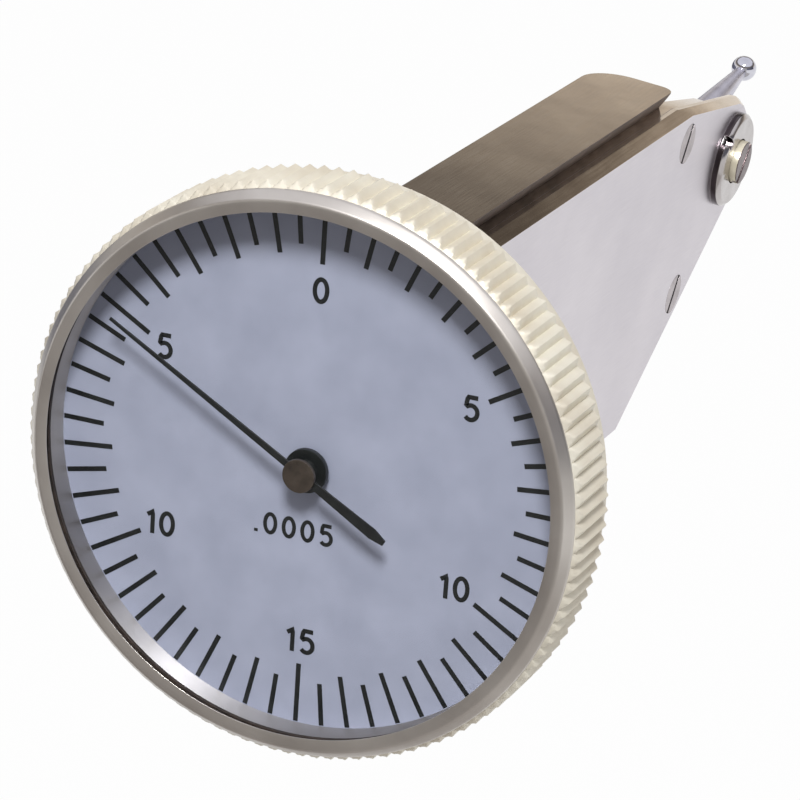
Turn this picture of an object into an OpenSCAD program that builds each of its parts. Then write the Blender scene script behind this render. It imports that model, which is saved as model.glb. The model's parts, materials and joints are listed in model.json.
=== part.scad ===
// Lever test indicator with the dial square to the body, in millimetres.
// Sizes below are measured from the dial axis and the front of the dial plate:
// x to the right of the dial, y from the dial towards the stylus, z up.
// The finished part is moved so that its origin is the middle of the rail's top face.

/* [Body] */
// width of the body from side to side
body_w = 8.4; // [7.6:0.1:12]
// thickness of the side walls, the cover and the other walls of the body
wall_t = 1.2; // [0.9:0.05:1.4]
// dial axis up to the shoulders beside the rail
body_top = 12.4; // [11.8:0.1:16]
// dial axis down to the underside of the body
body_bottom = 12.3; // [11.8:0.1:16]
// front of the dial plate to the end of the flat top
top_end = 52.5; // [48:0.5:56]
// front of the dial plate to the end of the flat underside
bottom_end = 50.6; // [46:0.2:54]
// front of the dial plate to the lower edge of the stylus slot
slot_low_end = 56; // [54:0.5:58]
// radius of the rounded nose
nose_r = 4.7; // [4.2:0.1:6]

/* [Rail] */
// width across the top of the dovetail rail
rail_w = 6.2; // [5:0.1:7]
// height of the rail above the shoulders
rail_h = 1.6; // [1.2:0.1:2]
// slope of the rail flanks
rail_angle = 60; // [50:1:70]
// front of the dial plate to the far end of the rail
rail_end = 51.8; // [40:0.2:52]
// radius of the rounded far left corner of the rail
rail_corner_r = 3; // [1:0.1:3]

/* [Dial and bezel] */
// outside radius of the bezel over the knurl
bezel_r = 19; // [18:0.1:24]
// depth of the knurl grooves
knurl_h = 0.4; // [0.2:0.05:0.6]
// number of knurl grooves
knurl_count = 120; // [60:2:160]
// front of the dial plate to the back of the bezel
bezel_back = 2.75; // [2.6:0.05:3]
// front of the dial plate forward to the lip of the bezel
lip_front = 2.9; // [2.8:0.05:4]
// height of the sloped front edge of the bezel
bevel_h = 0.65; // [0.45:0.05:1.8]
// thickness of the bezel ring at its lip
lip_ring = 1.8; // [1.45:0.05:2]
// thickness of the crystal
crystal_t = 0.7; // [0.4:0.05:0.8]
// thickness of the dial plate
dial_t = 0.5; // [0.3:0.05:0.6]
// front of the dial plate to the back of the dial housing
housing_back = 4.4; // [4.2:0.1:6]
// thickness of the floor of the dial housing
floor_t = 1.2; // [0.9:0.05:1.4]

/* [Pointer] */
// dial axis to the tip of the pointer
pointer_len = 15.7; // [12:0.1:16]
// dial axis to the end of the pointer tail
tail_len = 6.8; // [4:0.1:8]
// direction of the resting pointer, clockwise from straight up
pointer_rest = -67; // [-90:1:90]
// radius of the pointer hub
hub_r = 1.2; // [0.9:0.05:1.5]
// front of the dial plate forward to the pointer
pointer_gap = 1.45; // [1.2:0.05:1.6]

/* [Gear train] */
// front of the dial plate to the crown wheel arbor
crown_y = 17.2; // [17:0.1:18]
// teeth of the crown wheel
crown_teeth = 80; // [80:2:84]
// teeth of the pinion on the pointer arbor
pinion_teeth = 10; // [10:1:12]
// tooth size of the crown wheel and its pinion
crown_module = 0.2; // [0.19:0.005:0.21]
// teeth of the pinion on the crown wheel arbor
arbor_teeth = 16; // [14:1:18]
// teeth on a full turn of the lever sector
sector_teeth = 242; // [220:1:260]
// thickness of the lever
lever_t = 0.7; // [0.5:0.05:0.8]

/* [Pivot and stylus] */
// front of the dial plate to the lever pivot
pivot_y = 65.6; // [64:0.1:68]
// dial axis up to the lever pivot
pivot_z = 5.6; // [4.5:0.1:6.5]
// radius of the lever shaft
shaft_r = 1.2; // [1:0.05:1.4]
// radius of the round caps over the pivot
cap_r = 3.65; // [3:0.05:4.2]
// height of the pivot caps
cap_h = 0.8; // [0.7:0.05:1.5]
// radius of the screw head in the middle of each pivot cap
pivot_screw_r = 1.65; // [1.3:0.05:1.9]
// lever pivot to the centre of the contact ball
stylus_len = 14.67; // [13:0.01:17]
// upward tilt of the resting stylus
stylus_tilt = 11; // [0:1:20]
// radius of the contact ball
ball_r = 1; // [0.8:0.1:1.1]
// radius of the stylus stem at its thick end
stem_r = 1.25; // [0.85:0.05:1.35]
// radius of the stylus stem at the ball
stem_tip_r = 0.4; // [0.3:0.05:0.6]

/* [Screws] */
// radius of the side cover screw heads
cover_head_r = 1.5; // [1.2:0.05:1.6]
// radius of the small screw shanks
shank_r = 0.75; // [0.6:0.05:0.9]
// clearance left around seated pieces
seat_gap = 0.02; // [0.01:0.01:0.04]
// clearance left around turning pieces
run_gap = 0.05; // [0.03:0.01:0.08]

/* [Hidden] */
$fn = 64;
// overlap that joins the shapes of one piece, and how far a cut runs past a face
join = 0.1;
past = 1;

// body
rail_top_z = body_top + rail_h;
rail_mid_y = (housing_back + rail_end) / 2;
half_w = body_w / 2;
inner_w = half_w - wall_t;
bay_front = housing_back + wall_t;
bay_top = body_top - wall_t;
bay_bottom = body_bottom - wall_t;
nose_low_a = atan2(pivot_z + body_bottom, pivot_y - bottom_end)
  - asin(nose_r / norm([pivot_y - bottom_end, pivot_z + body_bottom]));
rail_small_r = 1;
left_drop = 0.6;
roof_drop = 0.35;
roof_end = pivot_y - 3;
roof_gap = 0.2;
edge_run = 0.8;
edge_drop = 0.6;
edge_len = 40;
nose_drops = [0.35, 0.55, 0.7, 0.7, 0.6, 0.45, 0.3, 0.15, 0.05];

// screws
screw_low = [58.5, -3.6];
screw_high = [54.1, 9.6];
screw_front = [9.2, 8.8];
cover_screw_at = [screw_low, screw_high, screw_front, [screw_front[0], -screw_front[1]]];
cover_head_t = 0.6;
pillar_r = cover_head_r + 0.25;
pillar_root = 1.4;
slot_w = 0.4;
cover_slot_a = 69;
pivot_slot_a = 60;
slot_d = 0.3;
hole_gap = 0.1;
fine_head_r = 0.95;
fine_head_t = 0.5;
fine_shank_r = 0.5;
fine_slot_w = 0.24;
fine_slot_d = 0.25;

// bezel, crystal and dial
knurl_root_r = bezel_r - knurl_h;
knurl_seat = 0.05;
knurl_web = 0.3;
lip_r = bezel_r - lip_ring;
lip_flat = 0.8;
lip_t = 0.15;
sight_r = lip_r + 0.25;
seat_r = sight_r + 0.1;
groove_r = seat_r + 0.35;
crystal_back = lip_front - lip_t - crystal_t - seat_gap;
gasket_t = 0.3;
dial_hole_r = 0.9;
ring_t = 0.4;
ring_w = 0.8;
ring_bite = 0.2;

// dial housing
housing_r = seat_r - 2 * run_gap;
flange_r = seat_r + 0.65;
flange_gap = 0.25;
floor_y = housing_back - floor_t;
rim_t = 1.9;
rim_front = 1.3;
wire_r = 0.3;
wire_y = bezel_back - 0.75;
wire_room = 0.35;
housing_screw_z = 9.6;
housing_head_r = 1.5;
housing_head_t = 0.8;

// pointer arbor
needle_t = 0.15;
needle_half = 0.24;
needle_tip_half = 0.1;
tail_half = 0.38;
tail_end_half = 0.18;
tail_wide_at = 0.86;
disc_r = hub_r - 0.2;
hub_base_r = hub_r + 0.25;
hub_base_t = 0.4;
hub_neck_r = hub_r - 0.4;
hub_gap = 0.4;
glass_gap = 0.13;
arbor_r = 0.4;
arbor_thick_r = 0.55;
arbor_tip_r = 0.25;
arbor_nose = 0.08;
front_jewel_r = 1.3;
rear_jewel_r = 0.55;
rear_jewel_t = 0.6;
wall_hole_r = 2.2;
collet_lift = 1.1;
collet_y = floor_y - collet_lift;
collet_r = 0.95;
collet_t = 0.6;
collet_slit = 0.12;
coil_t = 0.12;
coil_h = 0.4;
coil_turns = 5;
coil_pitch = 0.57;
coil_in_r = collet_r + 0.11;
coil_end_r = coil_in_r + coil_turns * coil_pitch;
stud_r = 0.33;
stud_x = coil_end_r + coil_t + run_gap + stud_r;
stud_foot = 0.65;

// crown wheel
pitch_r = pinion_teeth * crown_module / 2;
crown_r = crown_teeth * crown_module / 2;
pinion_y = crown_y - crown_r;
pinion_half = 0.35;
crown_face = 0.8;
crown_out_r = crown_r + crown_face / 2;
crown_web = 1.3;
crown_back = pitch_r + crown_web;
crown_arbor_r = 0.6;
crown_pivot_r = 0.3;
crown_jewel_r = 1.2;
crown_jewel_t = 0.65;
end_play = 0.15;
spokes = 5;
mesh_add = 0.7;
mesh_ded = 1.15;
tooth_share = 0.42;
flank = 0.25;

// cock behind the pointer pinion
cock_room = 1.3;
cock_y = pinion_y + cock_room;
cock_t = 1.1;
cock_half_x = pitch_r - mesh_add * crown_module - hole_gap;
cock_right = 1.6;
cock_leg = 1;
cock_foot_t = 0.8;
cock_foot = 3.8;
leg_z = 0.58 * crown_r;
cock_reach = 2.5;
cock_screw_z = leg_z + cock_reach;
cock_screw_x = 0.4;

// lever
hub_right = 1;
hub_left = -hub_right - 0.5;
lever_x = hub_right + 2 * run_gap;
center_gap = norm([pivot_y - crown_y, pivot_z]);
lever_module = 2 * center_gap / (arbor_teeth + sector_teeth);
sector_r = sector_teeth * lever_module / 2;
sector_depth = 3.2;
lever_a = atan2(-pivot_z, crown_y - pivot_y);
arm_half = 1.3;
arm_root_half = 2.2;
arm_taper = 20;
stop_at = 30;
stop_r = 0.6;
stop_spare = 0.15;
pointer_travel = 400;
travel = pointer_travel * pinion_teeth / crown_teeth * arbor_teeth / sector_teeth;
leaf_t = 0.22;
leaf_root = [12, 5.1];
leaf_tip = 26;
leaf_flat = 1;
leaf_gap = 0.06;
leaf_side = 0.2;
leaf_post_r = 1.1;

// bridge over the crown wheel
bridge_x = lever_x + lever_t + 2 * end_play;
bridge_t = inner_w - bridge_x - hole_gap;
bridge_half = 2.2;
bridge_boss_r = 3.2;
post_room = 1.45;
post_z = crown_out_r + post_room;
post_r = 1.1;
post_hole = 2;

// pivot and stylus
journal_r = 0.7;
journal_len = 0.85;
spigot_r = 1.9;
jewel_t = 0.55;
cap_sink = 0.45;
cap_chamfer = 0.3;
notch_a = 142;
notch_w = 0.7;
notch_d = 0.9;
notch_floor = 0.2;
screw_proud = 0.55;
adjuster_r = 0.95;
knuckle_r = 2.7;
neck_r = hub_right - 0.05;
neck_root = 1.5;
neck_len = 3.6;
collar_len = 1.4;
thread_r = 0.55;
thread_gap = 0.3;
washer_r = 2.2;
washer_t = 0.4;
collar_r = 2;

// Moves a piece from the dial axis to the middle of the rail's top face.
module place() translate([0, -rail_mid_y, -rail_top_z]) children();

// Turns a shape drawn about z so that it runs back along y.
module along_y(y0) translate([0, y0, 0]) rotate([-90, 0, 0]) children();

// Slab with an outline drawn in x and z.
module face_slab(y0, t) translate([0, y0 + t, 0]) rotate([90, 0, 0]) linear_extrude(t) children();

// Slab with an outline drawn in y and z.
module side_slab(x0, t) translate([x0, 0, 0]) rotate([90, 0, 90]) linear_extrude(t) children();

// Round bar across the body.
module cross_bar(x0, x1, r, y, z) translate([x0, y, z]) rotate([0, 90, 0]) cylinder(r = r, h = x1 - x0);

// Round bar along the body.
module long_bar(y0, y1, r, x = 0, z = 0)
  translate([x, y0, z])
  rotate([-90, 0, 0])
  cylinder(r = r, h = y1 - y0);

// Round bar along the resting stylus, from one distance to another.
module stylus_bar(d0, d1, r0, r1)
  translate([0, pivot_y, pivot_z])
  rotate([stylus_tilt, 0, 0])
  translate([0, d0, 0])
  rotate([-90, 0, 0])
  cylinder(r1 = r0, r2 = r1, h = d1 - d0);

// Place in y and z at a distance along the lever and a height under it.
function on_lever(d, v) = [pivot_y + d * cos(lever_a) - v * sin(lever_a),
  pivot_z + d * sin(lever_a) + v * cos(lever_a)];

// Involute tooth: half the angle that the tooth fills at radius r.
function inv_a(a) = tan(a) * 180 / PI - a;
function tooth_half(r, pr, width) = let(br = pr * cos(20))
  90 * width / pr + inv_a(20) - (r > br ? inv_a(acos(br / r)) : 0);

// One tooth as pairs of radius and angle, from root to tip and back.
function tooth_path(pr, width, root, tip) = concat(
  [for (i = [0:3]) let(r = root + (tip - root) * i / 3) [r, -tooth_half(r, pr, width)]],
  [for (i = [3:-1:0]) let(r = root + (tip - root) * i / 3) [r, tooth_half(r, pr, width)]]);

// Outline of the teeth numbered from first to last, tooth 0 at angle a0.
function tooth_row(teeth, size, share, first, last, a0) = let(pr = teeth * size / 2)
  [for (k = [first:last])
    for (p = tooth_path(pr, share * size, pr - mesh_ded * size, pr + mesh_add * size))
      let(a = a0 + k * 360 / teeth + p[1]) [p[0] * cos(a), p[0] * sin(a)]];

// Middle of the round nose when its radius is less by drop, and the slope of the edge above it.
function nose_mid(drop) = [pivot_y + drop * sin(nose_low_a), pivot_z - drop * cos(nose_low_a)];
function nose_up_a(drop) = let(from = nose_mid(drop) - [top_end, body_top])
  atan2(from[1], from[0]) + asin((nose_r - drop) / norm(from));

// Slab with the side outline of the body: straight edges that run on to the round nose.
module body_slab(x0, t, drop) union() {
  mid = nose_mid(drop);
  r = nose_r - drop;
  up_a = nose_up_a(drop);
  side_slab(x0, t)
  polygon([
    [housing_back, body_top],
    [top_end, body_top],
    mid + r * [-sin(up_a), cos(up_a)],
    mid,
    mid + r * [sin(nose_low_a), -cos(nose_low_a)],
    [bottom_end, -body_bottom],
    [housing_back, -body_bottom]]);
  cross_bar(x0, x0 + t, r, mid[0], mid[1]);
}

// Roof of the nose between a cheek and the stylus slot.
module nose_roof(x0, t, drop) {
  fall = (roof_end - top_end) * tan(nose_up_a(drop));
  side_slab(x0, t)
  polygon([[top_end - join, body_top], [top_end, body_top], [roof_end, body_top + fall],
    [roof_end, bay_top + fall], [top_end, bay_top], [top_end - join, bay_top]]);
}

// Sloped cut along the outer edge of the cover, where the edge faces the angle a, clockwise from up.
module edge_cut(y, z, a, r, drop)
  translate([half_w - edge_run, y, z])
  rotate([-a, 0, 0])
  translate([0, 0, r])
  rotate([0, atan2(drop, edge_run), 0])
  translate([-past, -edge_len, 0])
  cube([3 * past, 2 * edge_len, past]);

// Bay for the gear train, open at the nose so that the stylus can swing.
module bay_outline() {
  bend = bottom_end - wall_t * tan(nose_low_a / 2);
  polygon([
    [bay_front, bay_top],
    [top_end, bay_top],
    [top_end, body_top + past],
    [pivot_y + 2 * nose_r, body_top + past],
    [pivot_y + 2 * nose_r, -body_bottom - past],
    [slot_low_end, -body_bottom - past],
    [slot_low_end, -bay_bottom + (slot_low_end - bend) * tan(nose_low_a)],
    [bend, -bay_bottom],
    [bay_front, -bay_bottom]]);
}

// Dovetail rail with rounded far corners, the left one larger.
module rail() {
  neck = rail_w / 2 - rail_h / tan(rail_angle);
  difference() {
    face_slab(housing_back, rail_end - housing_back)
    polygon([[-neck, body_top - join], [neck, body_top - join], [neck, body_top],
      [rail_w / 2, rail_top_z], [-rail_w / 2, rail_top_z], [-neck, body_top]]);
    for (side = [0, 1]) let(r = side == 0 ? rail_corner_r : rail_small_r)
      mirror([side, 0, 0])
      translate([-rail_w / 2, rail_end - r, body_top])
      difference() {
        translate([-past, 0, 0])
        cube([r + past, r + past, rail_h + past]);
        translate([r, 0, -past])
        cylinder(r = r, h = rail_h + 3 * past);
      }
  }
}

// Open tray with the rail, one cheek of the nose and the pillars for the screws.
module body_frame() color("silver") place() difference() {
  union() {
    difference() {
      body_slab(-half_w, body_w - wall_t, left_drop);
      side_slab(-inner_w, body_w) bay_outline();
    }
    rail();
    nose_roof(stem_r + run_gap + roof_gap, inner_w - stem_r - run_gap - roof_gap, roof_drop);
    nose_roof(-inner_w - join, inner_w + join - stem_r - run_gap - roof_gap, left_drop);
    for (p = cover_screw_at) cross_bar(-inner_w - join, inner_w, pillar_r, p[0], p[1]);
    for (s = [-1, 1]) cross_bar(-inner_w - join, bridge_x, post_r, crown_y, s * post_z);
  }
  for (p = cover_screw_at) cross_bar(pillar_root - inner_w, half_w, shank_r + seat_gap, p[0], p[1]);
  for (s = [-1, 1]) {
    cross_bar(bridge_x - post_hole, half_w, fine_shank_r + seat_gap, crown_y, s * post_z);
    long_bar(housing_back - past, bay_front + past, shank_r + seat_gap, 0, s * housing_screw_z);
    long_bar(housing_back + 2 * join, bay_front + past, fine_shank_r + seat_gap,
      cock_screw_x, s * cock_screw_z);
  }
  long_bar(housing_back - past, bay_front + past, wall_hole_r);
  cross_bar(-inner_w - crown_jewel_t - seat_gap, 0, crown_jewel_r + seat_gap, crown_y, 0);
  cross_bar(-half_w - past, 0, spigot_r + seat_gap, pivot_y, pivot_z);
}

// Flat cover that closes the tray and makes the other cheek of the nose.
module side_cover() color("gainsboro") place() difference() {
  body_slab(inner_w, wall_t, 0);
  edge_cut((housing_back + top_end) / 2, body_top, 0, 0, edge_drop);
  for (k = [0:len(nose_drops) - 1]) let(part = k / len(nose_drops), up_a = nose_up_a(0))
    edge_cut(pivot_y, pivot_z, part * (180 - nose_low_a) - (1 - part) * up_a, nose_r, nose_drops[k]);
  for (p = cover_screw_at) {
    cross_bar(0, half_w + past, shank_r + hole_gap, p[0], p[1]);
    cross_bar(half_w - cover_head_t, half_w + past, cover_head_r + seat_gap, p[0], p[1]);
  }
  cross_bar(0, half_w + past, spigot_r + seat_gap, pivot_y, pivot_z);
}

// Flush slotted screws of the side cover.
module cover_screws() color("lightgray") place() for (p = cover_screw_at) difference() {
  union() {
    cross_bar(half_w - cover_head_t, half_w, cover_head_r, p[0], p[1]);
    cross_bar(pillar_root - inner_w + 2 * join, half_w - cover_head_t + join, shank_r, p[0], p[1]);
  }
  translate([half_w - slot_d, p[0], p[1]])
  rotate([cover_slot_a, 0, 0])
  translate([0, -2 * cover_head_r, -slot_w / 2])
  cube([past, 4 * cover_head_r, slot_w]);
}

// Shallow round cup that carries the bezel and the dial end of the train.
module dial_housing() color("silver") place() difference() {
  along_y(0)
  rotate_extrude($fn = 128)
  polygon([
    [0, floor_y],
    [housing_r - rim_t, floor_y],
    [housing_r - rim_t, rim_front],
    [housing_r, rim_front],
    [housing_r, wire_y - wire_room],
    [housing_r - wire_room - hole_gap, wire_y - wire_room],
    [housing_r - wire_room - hole_gap, wire_y + wire_room],
    [housing_r, wire_y + wire_room],
    [housing_r, bezel_back + flange_gap],
    [flange_r, bezel_back + flange_gap],
    [flange_r, housing_back],
    [0, housing_back]]);
  long_bar(floor_y - past, housing_back + past, front_jewel_r + seat_gap);
  for (s = [-1, 1]) long_bar(floor_y - past, housing_back + past, shank_r + hole_gap, 0, s * housing_screw_z);
  long_bar(floor_y - past, floor_y + stud_foot + seat_gap, stud_r + seat_gap, stud_x, 0);
}

// Screws that hold the housing on the front wall of the body.
module housing_screws() color("lightgray") place() for (s = [-1, 1]) difference() {
  union() {
    long_bar(floor_y - housing_head_t, floor_y, housing_head_r, 0, s * housing_screw_z);
    long_bar(floor_y - join, bay_front - join, shank_r, 0, s * housing_screw_z);
  }
  translate([-2 * housing_head_r, floor_y - housing_head_t - past, s * housing_screw_z - slot_w / 2])
  cube([4 * housing_head_r, past + slot_d, slot_w]);
}

// Sprung wire in the groove between housing and bezel, open at one place.
module bezel_wire() color("gray") place() along_y(wire_y) rotate_extrude(angle = 330, $fn = 128)
  translate([housing_r - hole_gap, 0]) circle(r = wire_r, $fn = 24);

// Bearing jewel of the pointer arbor in the housing floor.
module front_jewel() color("crimson") place() difference() {
  long_bar(floor_y + join, housing_back - join, front_jewel_r);
  long_bar(floor_y - past, housing_back + past, arbor_r + seat_gap);
}

// Bearing jewel of the pointer arbor in the cock.
module rear_jewel() color("crimson") place() difference() {
  long_bar(cock_y + join, cock_y + join + rear_jewel_t, rear_jewel_r);
  long_bar(cock_y - past, cock_y + 2 * past, arbor_tip_r + seat_gap);
}

// Flat stone that takes the end thrust of the pointer arbor.
module end_stone() color("crimson") place()
  long_bar(cock_y + join + rear_jewel_t + run_gap, cock_y + cock_t, rear_jewel_r);

// Bridge piece with two legs behind the pointer pinion.
module arbor_cock() color("goldenrod") place() difference() {
  union() {
    translate([-cock_half_x, cock_y, -leg_z - cock_leg])
    cube([cock_half_x + cock_right, cock_t, 2 * leg_z + 2 * cock_leg]);
    for (s = [-1, 1]) {
      translate([-cock_half_x, bay_front, s * leg_z - cock_leg])
      cube([cock_half_x + cock_right, cock_y - bay_front + join, 2 * cock_leg]);
      translate([-cock_half_x, bay_front, s * (cock_screw_z - fine_head_r) - cock_foot / 2])
      cube([cock_half_x + cock_right, cock_foot_t, cock_foot]);
    }
  }
  long_bar(cock_y - past, cock_y + cock_t + past, rear_jewel_r + seat_gap);
  for (s = [-1, 1])
    long_bar(bay_front - past, bay_front + 2 * past, fine_shank_r + hole_gap, cock_screw_x, s * cock_screw_z);
}

// Screws of the cock.
module cock_screws() color("lightgray") place() for (s = [-1, 1]) difference() {
  union() {
    long_bar(bay_front + cock_foot_t, bay_front + cock_foot_t + fine_head_t, fine_head_r,
      cock_screw_x, s * cock_screw_z);
    long_bar(housing_back + 3 * join, bay_front + cock_foot_t + join, fine_shank_r,
      cock_screw_x, s * cock_screw_z);
  }
  translate([cock_screw_x - 2 * fine_head_r, bay_front + cock_foot_t + fine_slot_d,
    s * cock_screw_z - fine_slot_w / 2])
  cube([4 * fine_head_r, past, fine_slot_w]);
}

// Bearing jewel of the crown wheel arbor in the side wall.
module crown_jewel_left() color("crimson") place() difference() {
  cross_bar(-inner_w - crown_jewel_t, -inner_w, crown_jewel_r, crown_y, 0);
  cross_bar(-half_w, 0, crown_pivot_r + seat_gap, crown_y, 0);
}

// Bearing jewel of the crown wheel arbor in the train bridge.
module crown_jewel_right() color("crimson") place() difference() {
  cross_bar(bridge_x, bridge_x + bridge_t - run_gap, crown_jewel_r, crown_y, 0);
  cross_bar(0, half_w, crown_pivot_r + seat_gap, crown_y, 0);
}

// Plate over the crown wheel, screwed to two posts of the body.
module train_bridge() color("goldenrod") place() difference() {
  side_slab(bridge_x, bridge_t) {
    translate([crown_y - bridge_half, -post_z - post_r])
    square([2 * bridge_half, 2 * post_z + 2 * post_r]);
    translate([crown_y, 0])
    circle(r = bridge_boss_r);
  }
  cross_bar(0, half_w, crown_jewel_r + seat_gap, crown_y, 0);
  for (s = [-1, 1]) {
    cross_bar(0, half_w, fine_shank_r + hole_gap, crown_y, s * post_z);
    cross_bar(bridge_x + bridge_t / 2, half_w, fine_head_r + seat_gap, crown_y, s * post_z);
  }
}

// Flush screws of the train bridge.
module bridge_screws() color("lightgray") place() for (s = [-1, 1]) difference() {
  union() {
    cross_bar(bridge_x + bridge_t / 2, bridge_x + bridge_t, fine_head_r, crown_y, s * post_z);
    cross_bar(bridge_x - post_hole + 2 * join, bridge_x + 0.6 * bridge_t, fine_shank_r, crown_y, s * post_z);
  }
  translate([bridge_x + 0.75 * bridge_t, crown_y - 2 * fine_head_r, s * post_z - fine_slot_w / 2])
  cube([bridge_t, 4 * fine_head_r, fine_slot_w]);
}

// Bearing jewel of the lever shaft; side is 1 on the right and -1 on the left.
module lever_jewel(side) mirror([side < 0 ? 1 : 0, 0, 0]) difference() {
  cross_bar(inner_w, inner_w + jewel_t, spigot_r, pivot_y, pivot_z);
  cross_bar(0, half_w, journal_r + seat_gap, pivot_y, pivot_z);
}

module lever_jewel_left() color("crimson") place() lever_jewel(-1);

module lever_jewel_right() color("crimson") place() lever_jewel(1);

// Round cap over the pivot, with a spigot in the cheek, a sunk screw seat and two notches for a key.
module pivot_cap(side) mirror([side < 0 ? 1 : 0, 0, 0]) difference() {
  union() {
    cross_bar(half_w, half_w + cap_h - cap_chamfer, cap_r, pivot_y, pivot_z);
    translate([half_w + cap_h - cap_chamfer, pivot_y, pivot_z])
    rotate([0, 90, 0])
    cylinder(r1 = cap_r, r2 = cap_r - cap_chamfer, h = cap_chamfer);
    cross_bar(inner_w + jewel_t, half_w + join, spigot_r, pivot_y, pivot_z);
  }
  for (a = [notch_a, notch_a + 180])
    translate([half_w + notch_floor, pivot_y, pivot_z])
    rotate([a, 0, 0])
    translate([0, cap_r - notch_d, -notch_w / 2])
    cube([2 * cap_h, 2 * notch_d, notch_w]);
  cross_bar(0, half_w + 2 * cap_h, adjuster_r + seat_gap, pivot_y, pivot_z);
  cross_bar(half_w + cap_h - cap_sink, half_w + 2 * cap_h, pivot_screw_r + hole_gap, pivot_y, pivot_z);
}

module pivot_cap_left() color("silver") place() pivot_cap(-1);

module pivot_cap_right() color("silver") place() pivot_cap(1);

// Slotted screw in the cap that sets the end play of the lever shaft.
module pivot_screw(side) mirror([side < 0 ? 1 : 0, 0, 0]) difference() {
  union() {
    cross_bar(half_w + cap_h - cap_sink, half_w + cap_h + screw_proud, pivot_screw_r, pivot_y, pivot_z);
    cross_bar(inner_w + journal_len + run_gap, half_w + cap_h - cap_sink + join, adjuster_r, pivot_y, pivot_z);
  }
  translate([half_w + cap_h + screw_proud - slot_d, pivot_y, pivot_z])
  rotate([pivot_slot_a, 0, 0])
  translate([0, -2 * pivot_screw_r, -slot_w / 2])
  cube([past, 4 * pivot_screw_r, slot_w]);
}

module pivot_screw_left() color("lightgray") place() pivot_screw(-1);

module pivot_screw_right() color("lightgray") place() pivot_screw(1);

// Pins above and below the lever that end its travel.
module stop_pins() color("gray") place() for (v = [-arm_half - stop_r - run_gap,
    arm_half + stop_r + run_gap + (stop_at + stop_r) * tan(travel + stop_spare)])
  cross_bar(-inner_w, lever_x + lever_t + leaf_side, stop_r, on_lever(stop_at, v)[0], on_lever(stop_at, v)[1]);

// Leaf that presses the lever against its upper stop.
module return_spring() color("gray") place() side_slab(lever_x - leaf_side, lever_t + 2 * leaf_side)
  polygon([
    on_lever(leaf_root[0], leaf_root[1]),
    on_lever(leaf_tip, arm_half + leaf_gap),
    on_lever(leaf_tip + leaf_flat, arm_half + leaf_gap),
    on_lever(leaf_tip + leaf_flat, arm_half + leaf_gap + leaf_t),
    on_lever(leaf_tip, arm_half + leaf_gap + leaf_t),
    on_lever(leaf_root[0], leaf_root[1] + leaf_t)]);

// Post with a flat that carries the end of the leaf.
module spring_post() color("goldenrod") place() difference() {
  at = on_lever(leaf_root[0] - leaf_post_r / 2, leaf_root[1] + leaf_t / 2);
  cross_bar(-inner_w, lever_x + lever_t + 2 * leaf_side, leaf_post_r, at[0], at[1]);
  side_slab(-half_w, half_w + lever_x + lever_t + leaf_side)
  polygon([for (c = [[0, -1], [1, -1], [1, 1], [0, 1]])
    on_lever(leaf_root[0] - seat_gap + 2 * c[0] * leaf_post_r, leaf_root[1] + 2 * c[1] * leaf_post_r)]);
}

// Flat spiral spring that takes up the play of the train.
module hairspring() color("steelblue") place() face_slab(collet_y + join, coil_h)
  polygon(concat(
    [for (a = [0:15:360 * coil_turns]) (coil_in_r + coil_pitch * a / 360) * [cos(a), sin(a)]],
    [for (a = [360 * coil_turns:-15:0]) (coil_in_r + coil_t + coil_pitch * a / 360) * [cos(a), sin(a)]]));

// Stud that holds the outer end of the spiral spring.
module hairspring_stud() color("goldenrod") place()
  long_bar(collet_y - join, floor_y + stud_foot, stud_r, stud_x, 0);

// Turning ring with straight knurling, sloped front edge and inner grooves.
module bezel() color("silver") place() union() {
  along_y(0)
  rotate_extrude($fn = 128)
  polygon([
    [lip_r, -lip_front],
    [lip_r + lip_flat, -lip_front],
    [knurl_root_r - knurl_seat, bevel_h - lip_front],
    [knurl_root_r - knurl_seat, bezel_back],
    [seat_r, bezel_back],
    [seat_r, wire_y + wire_room + run_gap],
    [groove_r, wire_y + wire_room + run_gap],
    [groove_r, wire_y - wire_room - run_gap],
    [seat_r, wire_y - wire_room - run_gap],
    [seat_r, dial_t + ring_t + hole_gap],
    [seat_r + ring_bite + run_gap, dial_t + ring_t + hole_gap],
    [seat_r + ring_bite + run_gap, dial_t],
    [seat_r, dial_t],
    [seat_r, 0],
    [sight_r, 0],
    [sight_r, -crystal_back + gasket_t],
    [groove_r, -crystal_back + gasket_t],
    [groove_r, lip_t - lip_front],
    [lip_r, lip_t - lip_front]]);
  difference() {
    face_slab(bevel_h - lip_front + knurl_seat, bezel_back - bevel_h + lip_front - 2 * knurl_seat)
    polygon([for (k = [0:2 * knurl_count - 1]) let(a = 180 * k / knurl_count)
      (k % 2 == 0 ? bezel_r : knurl_root_r) * [cos(a), sin(a)]]);
    along_y(-lip_front)
    cylinder(r = knurl_root_r - knurl_web, h = 3 * lip_front, $fn = 128);
  }
}

// Clear flat disc in front of the pointer.
module crystal() color("aliceblue", 0.35) place()
  long_bar(-crystal_back - crystal_t, -crystal_back, groove_r - run_gap, $fn = 128);

// Soft ring that seats the crystal.
module crystal_gasket() color("dimgray") place() difference() {
  long_bar(-crystal_back, gasket_t - crystal_back, groove_r - run_gap, $fn = 128);
  long_bar(-crystal_back - past, gasket_t - crystal_back + past, sight_r, $fn = 128);
}

// Round plate with the scale.
module dial_plate() color("lightsteelblue") place() difference() {
  long_bar(0, dial_t, seat_r - run_gap, $fn = 128);
  long_bar(-past, dial_t + past, dial_hole_r);
}

// Open sprung ring that keeps the dial plate against its step.
module dial_ring() color("gray") place() along_y(dial_t) rotate_extrude(angle = 345, $fn = 128)
  translate([seat_r - ring_w, 0]) square([ring_w + ring_bite, ring_t]);

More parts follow.
